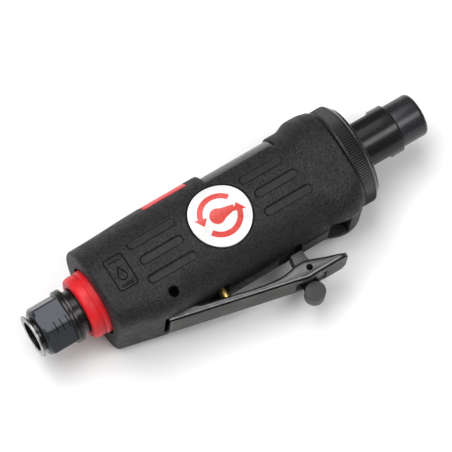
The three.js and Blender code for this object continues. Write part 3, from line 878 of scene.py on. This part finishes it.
spindle_outline = [(126, 5.3), (126, 8.6), (136.8, 8.6), (136.8, 10), (145.5, 10), (145.7, 10), (155.2, 10),
                   (156.3, 10), (156.5, 10), (161.3, 10), (161.6, 9.6), (161.6, 6.2), (168, 6.2),
                   (168, 5.5), (148, 4.3), (145.5, 4.3), (145.5, 0.01), (135.8, 0.01), (135.8, 5.3)]
spindle = lathe("spindle_turned", spindle_outline, 192, 0.12, wrench_flats)
finished(spindle, "rotor", ["spindle"], GLOSS_BLACK, 25)

nose_outline = [(161.9, 6.5), (161.9, 8.6), (162.2, 8.85), (171.7, 8.85)]
nose_outline += arc(171.7, 7.05, 1.8, 80, 0, 8)
nose_outline += [(173.5, 3.9), (171.9, 3.9), (168.8, 5.7), (168.4, 6.5)]
nose = lathe("collet_nut_turned", nose_outline, 128, 0.1)
finished(nose, "rotor", ["collet_nut"], SATIN_BLACK, 30)

collet_outline = [(147, 3.05), (147, 3.9), (148, 3.95), (168.4, 5.15), (171.4, 4), (171.4, 3.05)]
collet = lathe("collet_split", collet_outline, 96)
cut(collet, block("slit", 152, 173, -0.3, 0.3, -7, 7), block("slit", 152, 173, -7, 7, -0.3, 0.3))
finished(bevel(collet, 0.12), "rotor", ["collet"], STEEL)


# ---------------------------------------------------------------- lever and latch

LEVER_HALF, SHEET = 7.75, 1.2  # half width of the channel, and its thickness
FOLD_OUT, FOLD_IN = 1.7, 0.5  # radii of the fold
FOLD_LINE = 0.6  # depth of the line along the fold
LEVER_TOP = [(46.2, -20.0), (46.6, -17.6), (47.6, -15.0), (49.6, -13.5), (52.6, -13.5), (54.4, -14.9),
             (55.4, -17.6), (57.2, -21.2), (59.2, -23.4), (63, -24.6), (78, -28.5), (85, -29.9),
             (90.6, -30.5), (94.5, -30.2), (98, -29.4), (102, -29.4), (104.6, -30.2), (109.8, -32.2),
             (114, -33.6), (116.5, -34.3), (118, -34.9)]


def along(points, x):
    """The height at x of a line through (x, z) points."""
    for (x0, z0), (x1, z1) in zip(points, points[1:]):
        if x <= x1:
            return z0 + (z1 - z0) * (x - x0) / (x1 - x0)
    return points[-1][1]


def fold_z(x):
    """The outer face of the lever's web: a straight ramp, then level towards the nose."""
    ramp_z = -24.1 - (x - 46.2) * 12.4 / 53.8
    blend = smooth(x, 96.5, 103.5)
    return ramp_z * (1 - blend) + -36.55 * blend + 0.5 * quarter((x - 115.5) / 2.5)


def lever_half(x):
    return LEVER_HALF - 3.2 * quarter((x - 114.2) / 3.9)


def lever_ring(x):
    """The channel's section at x: side plates that curve in to a chamfered top, and a folded web."""
    low, half = fold_z(x), lever_half(x)
    top = max(along(LEVER_TOP, x), low + 1.5)
    outer = [(half - 0.8, top)]
    inner = [(half - SHEET + 0.1, top)]
    for share in (0.02, 0.25, 0.5, 0.75):
        at = top - 0.08 + (low + FOLD_OUT - top + 0.08) * share
        outer.append((half - 0.65 * (1 - share / 0.75) ** 2, at))
        inner.append((half - SHEET, at))
    for degrees in (0, 15, 30, 38, 48, 58, 74, 90):
        a = math.radians(degrees)
        bend = FOLD_OUT - (FOLD_LINE if degrees == 48 else 0)
        outer.append((half - FOLD_OUT + bend * math.cos(a), low + FOLD_OUT - bend * math.sin(a)))
        inner.append((half - SHEET - FOLD_IN * (1 - math.cos(a)), low + SHEET + FOLD_IN * (1 - math.sin(a))))
    section = outer + [(-y, z) for y, z in reversed(outer)]
    section += [(-y, z) for y, z in inner] + list(reversed(inner))
    return [(x, y, z) for y, z in section]


def throttle_lever():
    xs = stations(46.2, 60, 0.35) + stations(60, 95, 1.2) + stations(95, 113, 0.7)
    xs += stations(113, 118.1, 0.2) + [118.05]
    body = loft("lever", [lever_ring(x) for x in xs])
    cut(body, slab("slot", rounded_box(95.4, 108.4, -38, -34, 0.3), -4.2, 4.2))
    return cut(body, crosswise(rod("pin", -10, 10, 1.9), *PIVOT), crosswise(rod("pin", -10, 10, 1.3), *LATCH))


def lever_finish(x, y, z):
    """0 on the smooth side plates, 1 on the mottled web, whose mottling is wear and whose tone, darker than
    the plates, is painted shade, 2 in the line along each fold, which is painted shade.
    """
    above = z - fold_z(x)
    if 0.22 < above < 0.72 and abs(y) > lever_half(x) - SHEET:
        # the line along the fold gets the painted-shade black
        return 2
    return 1 if above < 0.5 else 0


lever = throttle_lever()
lever.name = "lever_channel"
# fold lines in the painted-shade black; the web's darker tone is partly painted shade
paint(lever, [GUNMETAL, MOTTLED, PAINTED_SHADE_BLACK], lever_finish)
finished(lever, "throttle_lever", ["throttle_lever"], None, 32)
# black pins, drawn in the painted-shade near-black because they sit deep in their holes
pin = crosswise(rod("lever_pin_turned", -13.5, 13.5, 1.7, 48, 0.4), *PIVOT)
finished(pin, "housing", ["lever_pin"], PAINTED_SHADE_BLACK)
pin = crosswise(rod("latch_pin_turned", -6.7, 6.7, 1.0, 32, 0.25), *LATCH)
finished(pin, "throttle_lever", ["latch_pin"], PAINTED_SHADE_BLACK)


KNOB = (100.4, -40.9)
KNOB_RADIUS = 4


def latch_outline():
    shape = [(99.6, -24.5), (98.9, -29), (98.5, -32.5), (98.4, -35.5), (98.2, -37.6), (100.4, -40.5)]
    return shape + [(103.6, -38.4), (103.6, -37.2), (103.8, -36), (104.6, -33), (104.9, -30), (104.4, -24.5)]


def latch_finish(x, y, z):
    """0 on the grey arm and knob, 1 on the neck between them, painted near-black as painted shade."""
    return int(z < -31 and math.hypot(x - KNOB[0], z - KNOB[1]) > KNOB_RADIUS + 0.02)


latch = cut(slab("latch", latch_outline(), -3.5, 3.5), crosswise(rod("hole", -5, 5, 1.3), *LATCH))
latch.name = "latch_cast"
bevel(latch, 0.35, 3, 30)
join(latch, crosswise(rod("knob", -3.52, 3.52, KNOB_RADIUS, 96, 0.4), *KNOB))
# the neck gets the painted-shade black
paint(latch, [CAST_GREY, PAINTED_SHADE_BLACK], latch_finish)
finished(latch, "safety_latch", ["safety_latch"], None)


leg = [(93.5, -4.3, -33.4), (95.5, -4.3, -33.7), (97.5, -4.3, -34.1), (99.5, -4.3, -34.5),
       (101, -4.3, -34.68)]
winding = [(LATCH[0] - b, c, LATCH[1] - a) for a, b, c in coil_points(2, 1.9, -4.3, -6.0)]
torsion = tube("latch_spring_wire", leg + winding, 0.3)
finished(torsion, "throttle_lever", ["latch_spring"], SATIN_BLACK)


# ---------------------------------------------------------------- floor, light and camera

def floor():
    """A pale sheet of paper, with its shade a little uneven."""
    size = 1.5
    points = [(-size, -size, 0), (size, -size, 0), (size, size, 0), (-size, size, 0)]
    made = mesh_object("floor", points, [(0, 1, 2, 3)])
    mat, tree, shader = material("paper", (0.93, 0.93, 0.93), 0.9)
    pale = ramp(tree, noise(tree, 14), [(0.3, (0.92, 0.92, 0.92)), (0.7, (0.94, 0.94, 0.94))])
    tree.links.new(pale, shader.inputs["Base Color"])
    made.data.materials.append(mat)


def area_light(name, place, target, size, watts):
    """A soft box at a place, facing a target."""
    data = bpy.data.lights.new(name, "AREA")
    data.shape = "RECTANGLE"
    data.size, data.size_y = size
    data.energy = watts
    lamp = bpy.data.objects.new(name, data)
    bpy.context.scene.collection.objects.link(lamp)
    lamp.location = place
    lamp.rotation_euler = (Vector(target) - Vector(place)).to_track_quat("-Z", "Y").to_euler()


VIEW = {"azimuth": -32.54, "elevation": 65.93, "distance": 1.457, "lens": 304.8,
        "target": (-0.0009, 0.0107, 0.0214)}


def camera():
    """A long lens that looks down at the tool from the inlet side."""
    azimuth, elevation = math.radians(VIEW["azimuth"]), math.radians(VIEW["elevation"])
    level = math.cos(elevation)
    outward = Vector((math.sin(azimuth) * level, -math.cos(azimuth) * level, math.sin(elevation)))
    target = Vector(VIEW["target"])
    data = bpy.data.cameras.new("camera")
    data.lens = VIEW["lens"]
    data.clip_start = 0.05
    made = bpy.data.objects.new("camera", data)
    bpy.context.scene.collection.objects.link(made)
    made.location = target + outward * VIEW["distance"]
    made.rotation_euler = (-outward).to_track_quat("-Z", "Y").to_euler()
    bpy.context.scene.camera = made


floor()
area_light("key", (-0.14, 0.14, 0.87), (0, 0, 0), (0.8, 0.5), 6)
area_light("strip", (0.2, -0.42, 0.8), (0, 0, 0), (0.7, 0.3), 3.4)
area_light("overhead", (-0.05, 0.45, 0.75), (0, 0, 0), (0.8, 0.3), 1.6)
area_light("left", (-0.8, 0.0, 0.5), (0, 0, 0.02), (0.3, 0.7), 1.2)
world = bpy.data.worlds.new("studio")
world.use_nodes = True
world.node_tree.nodes["Background"].inputs["Color"].default_value = (1, 1, 1, 1)
world.node_tree.nodes["Background"].inputs["Strength"].default_value = 0.18
bpy.context.scene.world = world
bpy.context.scene.view_settings.view_transform = "Standard"
camera()
